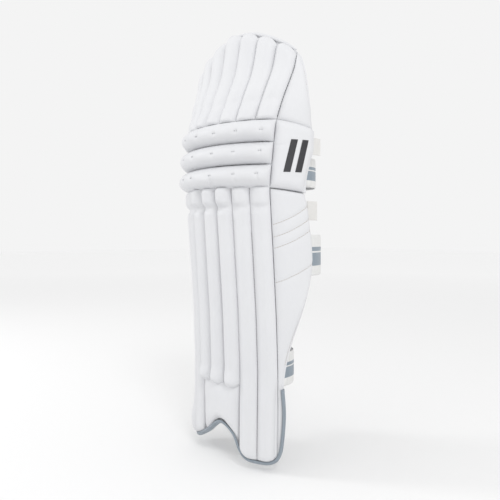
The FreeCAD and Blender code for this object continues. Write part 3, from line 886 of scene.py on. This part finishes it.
# where each row of quilting leaves the seam, and how far it climbs on its way round
QUILT_ROWS = (0.302, 0.358, 0.376, 0.396)
QUILT_CLIMB = 0.034


def quilt_height(start, share):
    return start + QUILT_CLIMB * share ** 1.3


def wing_rise(reach, height):
    near, far = half_face(height), wing_far(height)
    share = share_across(reach, near, far)
    wide = np.clip((far - near) / 0.05, 0.15, 1)
    top = KNEE_FLOOR - 0.002 - 0.008 * share
    edges = (round_off(share, 0.30) ** 0.8 * round_off(far - 0.003 - np.abs(reach), 0.010)
             * round_off(height - WING_FOOT, 0.02) * round_off(top - height, 0.009))
    out = -0.0045 + 0.0095 * edges * wide
    for start in QUILT_ROWS:
        out = out - 0.0012 * bell(height - quilt_height(start, share), 0.0030) * edges * wide
    return out + 0.0005 * soft_noise(reach, height, 0.04, 81) * edges


def wing_fold(wing, side):
    """What is given as a wing cover's blend: the shell and the wing, with points from its seam to 20 mm past
    it.
    """
    start = skin(side * half_face(WING_MIDDLE), WING_MIDDLE)
    return "shell", wing, tuple(start), tuple(start + np.array([side * 0.020, 0.018, 0]))


def make_wings():
    blend = wing_fold("outer_wing", 1)
    piece = side_panel("outer_wing_cover", lambda s: WING_FOOT + 0 * s,
                       lambda s: KNEE_FLOOR - 0.003 - 0.008 * s, lambda h: half_face(h) + 0.0006,
                       wing_far, wing_rise, PANEL_DEPTH, 150)
    finish_piece(piece, "cover", ["outer_wing", "outer_wing_foam"], blend=blend, fill=0.7)
    rows = []
    for low in QUILT_ROWS:
        share = np.linspace(0.03, 0.97, 60)
        height = quilt_height(low, share)
        near, far = half_face(height), wing_far(height)
        rows.append(on_skin(near + share * (far - near), height, wing_rise))
    sew("outer_wing_quilting", rows, TAN_THREAD, 0.0034, 0.0044, 0.00036, blend=blend)
    edge_stitches("outer_wing_edge_stitches", wing_far, 0.165, KNEE_FLOOR - 0.008, wing_rise, 0.0032,
                  blend=blend)
    piece = inner_panel("inner_wing_cover", WING_FOOT, KNEE_FLOOR - 0.003, 0.001, 150)
    blend = wing_fold("inner_wing", -1)
    finish_piece(piece, "cover", ["inner_wing", "inner_wing_foam"], blend=blend, fill=0.7)


make_wings()

# ---- flap above the knee -----------------------------------------

FLAP_FRONT = float(skin(0, KNEE_SEAM)[1])
FLAP_BEND = ("shell", "flap", (0, FLAP_FRONT, KNEE_SEAM - 0.004), (0, FLAP_FRONT, KNEE_SEAM + 0.045))


def flap_top(reach, u):
    """Top of one rib: rounded between its seams."""
    return crown(reach) - 0.0012 - 0.0030 * smoothstep(reach, 0.0, 0.070) - 0.0078 * np.abs(u) ** 2.3


def flap_rise(index):
    """How far one rib of the flap stands out of the seams, over reach and height."""
    def rise(reach, height):
        u = across_rib(index, reach, height)
        across = np.clip(1 - np.abs(u) ** 2.3, 0, 1) ** 0.78
        ends = round_off(flap_top(reach, u) - height, 0.014) * round_off(height - KNEE_SEAM + 0.001, 0.008)
        waist = 1 - 0.24 * bell(height - KNEE_SEAM - 0.032, 0.010)
        puff = 1 + 0.12 * bell(height - crown(reach) + 0.020, 0.016)
        lumps = 0.07 * soft_noise(height, index * 0.37, 0.035, 91 + index)
        wrinkle = 0.05 * bell(height - KNEE_SEAM - 0.03, 0.030) * soft_noise(height, reach, 0.007, 95 + index)
        return 0.0105 * across * (1 + lumps + wrinkle) * ends * waist * puff - 0.0012
    return rise


def make_flap_ribs():
    for index in range(RIBS):
        u = sine_spacing(27)
        v = edge_dense(110, 0.45)[:, None]
        high = flap_top(rib_reach(index, u, 0.70), u)
        height = KNEE_SEAM + 0.0004 + v * (high - KNEE_SEAM)
        reach = rib_reach(index, u, height)
        name = f"flap_rib_{index + 1}"
        piece = front_cover(name + "_cover", reach, height, flap_rise(index))
        finish_piece(piece, "cover", [name], blend=FLAP_BEND, fill=0.9)


def flap_side_far(height, scale):
    """Reach of the rear edge of the flap's side, which narrows to a point at the crown."""
    width = np.interp(height, [KNEE_SEAM - 0.012, 0.678], [0.071, 0.0030])
    return half_face(height) + scale * width


def flap_side_rise(scale):
    def rise(reach, height):
        far = flap_side_far(height, scale)
        share = share_across(reach, half_face(height), far)
        edges = (round_off(share, 0.2) * round_off(far - 0.003 - np.abs(reach), 0.012)
                 * round_off(height - KNEE_SEAM + 0.016 * share, 0.010))
        return -0.0035 + 0.0070 * edges + 0.0004 * edges * soft_noise(reach, height, 0.03, 99)
    return rise


def make_flap_side(name, side, scale, drop):
    rise = flap_side_rise(scale)

    def far(height):
        return side * flap_side_far(height, scale)

    piece = side_panel(name + "_cover", lambda s: KNEE_SEAM + 0.0006 - drop * s,
                       lambda s: 0.677 - 0.006 * s, lambda h: side * (half_face(h) - 0.0002), far,
                       rise, PANEL_DEPTH * 0.7, 90, 44)
    finish_piece(piece, "cover", [name, name + "_foam"], blend=FLAP_BEND, fill=0.7)
    if side > 0:
        edge_stitches("flap_side_edge_stitches", far, KNEE_SEAM - 0.006, 0.655, rise, 0.0030, blend=FLAP_BEND)


def make_flap_stitches():
    """Stitching along the seam between the last rib and the outer side of the flap."""
    height = np.linspace(KNEE_SEAM + 0.004, 0.672, 60)
    row = on_skin(half_face(height), height, 0.0)
    sew("flap_seam_stitches", [row], DARK_THREAD, 0.0026, 0.0040, 0.0004, blend=FLAP_BEND)


make_flap_ribs()
make_flap_side("flap_side_outer", 1, 1.0, KNEE_SIDE_TOP_DROP)
make_flap_side("flap_side_inner", -1, 0.8, 0.005)
make_flap_stitches()

# ---- linings -----------------------------------------------------

def backing(name, low, high, edge, edge_level, replaced, **held):
    """Foam and lining behind the ribs, quilted along their seams; beside them it is a flat strip."""
    u = edge_dense(140, 0.25) * 2 - 1
    v = edge_dense(110, 0.3)[:, None]
    columns = u * float(edge(edge_level))
    bottom, top = low(columns), high(columns)
    height = bottom + v * (top - bottom)
    reach = u * edge(height)
    share = thickness(reach, height)
    seams = 0.0016 * np.abs(np.cos(math.pi * reach / rib_width(height))) ** 6
    rim = (round_off(edge(height) - np.abs(reach), 0.006) * round_off(height - bottom, 0.006)
           * round_off(top - height, 0.006))
    beside = smoothstep(np.abs(reach) - half_face(height), -0.0008, 0.0006)
    front = skin(reach, height, -(RIB_DEPTH - 0.001) * share * (1 - beside) - 0.0026 * beside)
    back = skin(reach, height, -(LINING_DEPTH - 0.004 + 0.004 * rim - seams * rim) * share)
    piece = closed_pad(name, front, back, WHITE_COVER, LINING)
    finish_piece(piece, "lining", replaced, fill=0.5, **held)


def foot_edge(height):
    """Half width of the backing: beside the lobes it runs past the ribs."""
    return half_face(height) + 0.0105 * (1 - smoothstep(height, 0.118, 0.150))


backing("shin_backing", lambda r: hem(r) + 0.002, lambda r: KNEE_FLOOR - 0.0005 + 0 * r,
        foot_edge, 0.06, ["shin_foam", "shin_lining"], body="shell")
backing("knee_backing", lambda r: KNEE_FLOOR + 0 * r, lambda r: KNEE_SEAM - 0.0005 + 0 * r,
        lambda h: half_face(h) - 0.002, 0.5, ["knee_foam"], body="shell")
backing("flap_backing", lambda r: KNEE_SEAM + 0.0005 + 0 * r, lambda r: crown(r) - 0.004,
        lambda h: half_face(h) - 0.001, 0.70, ["flap_foam", "flap_lining"], blend=FLAP_BEND)


def soft_block(name, low, high, near, far, outer, inner, replaced):
    """A plain stuffed roll inside the shell."""
    share = edge_dense(26, 0.6)
    v = edge_dense(70, 0.3)[:, None]
    height = low + v * (high - low) + 0 * share
    reach = min(near, far) + share * abs(far - near) + 0 * height
    plump = np.sin(math.pi * share) ** 0.5 * round_off(height - low, 0.012) * round_off(high - height, 0.012)
    front = skin(reach, height, -outer)
    back = skin(reach, height, -outer - (inner - outer) * plump - 0.0008)
    piece = closed_pad(name, front, back, LINING)
    swell(piece, 0.0030, 0.005)
    finish_piece(piece, "lining", replaced, body="shell", fill=0.8)


for side_name, side in (("outer_side", 1), ("inner_side", -1)):
    node_name = f"inner_roll_{side_name}"
    soft_block(node_name + "_cover", 0.122, 0.438, side * 0.026, side * 0.056, 0.0245, 0.039, [node_name])
    node_name = f"knee_cup_{side_name}"
    soft_block(node_name + "_cover", KNEE_FLOOR + 0.008, KNEE_SEAM - 0.012, side * 0.048, side * 0.086,
               0.0250, 0.040, [node_name])


# ---- crown rim ---------------------------------------------------

def make_crown_binding():
    """A narrow rolled rim behind the tops of the ribs, with its stitching."""
    reach = np.linspace(-0.130, 0.130, 200)
    height = crown(reach) - 0.0030
    depth = 0.0078
    path = skin(reach, height, -depth)
    taper = round_off(0.1305 - np.abs(reach), 0.025)[:, None]
    up = np.tile([0, 0.2, 1.0], (len(reach), 1))
    piece = tube("crown_binding_tape", path, np.array([0.0040, 0.0034]) * taper + 0.0003, WHITE_COVER, 12, up)
    finish_piece(piece, "binding", ["crown_binding"], blend=FLAP_BEND)
    line = np.linspace(-0.118, 0.122, 160)
    row = (skin(line, crown(line) - 0.0004, -depth), np.tile([0, -0.6, 0.8], (len(line), 1)))
    sew("crown_stitches", [row], TAN_THREAD, 0.0024, 0.0038, 0.0004, blend=FLAP_BEND)


make_crown_binding()

# ---- straps ------------------------------------------------------

def arc_points(centre, radius, start, end, count):
    turns = np.linspace(start, end, count)
    return np.stack([centre[0] + radius * np.cos(turns), centre[1] + radius * np.sin(turns)], -1)


def strap_path(name, heading):
    """Plan of one strap from its sewn end, past its hinge, round the leg to its tip."""
    joint = next(j for j in frame["joints"] if j["child"] == name)
    low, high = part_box(name)
    middle = (low.z + high.z) / 2
    hinge = np.array([joint["pos_m"][0] - STRAP_THICK / 2, joint["pos_m"][1]])
    inward = np.array([-math.cos(heading), -math.sin(heading)])
    sewn = skin(half_face(middle) - 0.020, middle, -0.0335)[:2]
    chord = sewn - hinge
    tail_radius = chord @ chord / (2 * chord @ inward)
    centre = hinge + inward * tail_radius
    start = math.atan2(*(sewn - centre)[::-1])
    end = math.atan2(*(hinge - centre)[::-1])
    tail = arc_points(centre, tail_radius, start, end, 30)
    rear = high.y - STRAP_THICK / 2
    curl = (rear - hinge[1]) / (1 + inward[1])
    near = hinge + inward * curl
    first = arc_points(near, curl, heading, math.pi / 2, 40)
    left = low.x + STRAP_THICK / 2
    turn = rear - REAR_EDGE
    far = np.array([left + turn, REAR_EDGE])
    second = arc_points(far, turn, math.pi / 2, math.pi, 40)
    line = np.stack([np.linspace(near[0], far[0], 30), np.full(30, rear)], -1)
    tip = np.stack([np.full(24, left), np.linspace(REAR_EDGE, low.y, 24)], -1)
    plan = np.concatenate([tail[:-1], first[:-1], line[1:-1], second, tip[1:]])
    return plan, middle, hinge


def make_straps():
    for name, width in STRAP_WIDTHS.items():
        heading = math.radians(20 if name == "ankle_strap" else 0)
        plan, middle, hinge = strap_path(name, heading)
        ahead = np.gradient(plan, axis=0)
        ahead /= np.linalg.norm(ahead, axis=1, keepdims=True)
        across = np.stack([ahead[:, 1], -ahead[:, 0]], -1)
        share = edge_dense(40, 0.3) * 2 - 1
        edge = np.sqrt(1 - np.abs(share) ** 10)
        height = middle + share * width / 2
        front = np.zeros((len(height), len(plan), 3))
        back = front.copy()
        for row, (level, plump) in enumerate(zip(height, edge)):
            offset = 0.00115 * plump + 0.0001
            front[row, :, :2] = plan + across * offset
            back[row, :, :2] = plan - across * offset
            front[row, :, 2] = back[row, :, 2] = level
        piece = closed_pad(name + "_band", front, back, webbing(name + "_webbing", middle, width))
        ease = np.array([-0.45, 0.9]) * 0.014
        start = (hinge[0] - ease[0], hinge[1] - ease[1], middle)
        end = (hinge[0] + ease[0], hinge[1] + ease[1], middle)
        finish_piece(piece, "webbing", [name, name + "_tail"], blend=("shell", name, start, end))


make_straps()

# ---- what keeps its CAD shape ------------------------------------

KEPT = {"canes": CANE, "loop_patch": LOOP_TAPE, "hook_patch": HOOK_TAPE, "_tab": TAB_CLOTH}
for node_name, node in frame["nodes"].items():
    for ending, material in KEPT.items():
        if node_name.endswith(ending):
            node.data.materials.clear()
            node.data.materials.append(material)

# ---- stage -------------------------------------------------------

def make_stage():
    material, nodes, links, shader, place = new_material("backdrop")
    far = nodes.new("ShaderNodeVectorMath")
    far.operation = "LENGTH"
    links.new(place, far.inputs[0])
    spread = nodes.new("ShaderNodeMapRange")
    spread.inputs["From Max"].default_value = 5.0
    links.new(far.outputs["Value"], spread.inputs["Value"])
    # The floor is darker near the pad and lighter far out: painted light, making up for the lamp light that
    # reaches only the near floor, so the far floor matches the background.
    tone = ramp_node(nodes, links, spread.outputs["Result"], [(0.0, (0.86,) * 3), (1.0, (0.985,) * 3)])
    links.new(tone.outputs["Color"], shader.inputs["Base Color"])
    shader.inputs["Roughness"].default_value = 0.9
    shader.inputs["Specular IOR Level"].default_value = 0.1
    size = 12.0
    floor_level = cad_box[0].z - 0.012
    corners = [(x * size, y * size, floor_level) for x, y in ((-1, -1), (1, -1), (1, 1), (-1, 1))]
    floor = link_mesh("studio_floor", corners, [[0, 1, 2, 3]], [material])
    world = bpy.data.worlds.new("studio")
    bpy.context.scene.world = world
    world.use_nodes = True
    world.node_tree.nodes["Background"].inputs["Color"].default_value = (0.905, 0.905, 0.905, 1)


def area_light(name, place, target, size, power):
    data = bpy.data.lights.new(name, "AREA")
    data.shape = "DISK"
    data.size = size
    data.energy = power
    light = add_object(name, data)
    light.location = place
    light.rotation_euler = (Vector(target) - Vector(place)).to_track_quat("-Z", "Y").to_euler()


def make_camera():
    """A view from the front and the outer side, level with the middle of the pad."""
    azimuth = math.radians(47.1)
    distance, eye = 1.036, 0.380
    axis = Vector((0, 0.025, eye))
    place = axis + Vector((math.sin(azimuth), -math.cos(azimuth), 0)) * distance
    pan, tilt = math.radians(1.28), math.radians(-1.555)
    turn = azimuth + pan
    data = bpy.data.cameras.new("camera")
    data.sensor_width = 36
    data.lens = 40.284
    data.clip_start = 0.02
    camera = add_object("camera", data)
    camera.location = place
    camera.rotation_euler = (math.pi / 2 + tilt, 0, turn)
    bpy.context.scene.camera = camera


make_stage()
make_camera()
area_light("key", (-1.7, -1.4, 1.4), (0, 0, 0.4), 0.5, 11)
area_light("top", (1.6, -0.9, 2.0), (0, 0, 0.60), 0.7, 13)
area_light("side", (2.4, -0.6, 0.8), (0, 0, 0.50), 0.8, 3)
bpy.context.scene.view_settings.view_transform = "Standard"
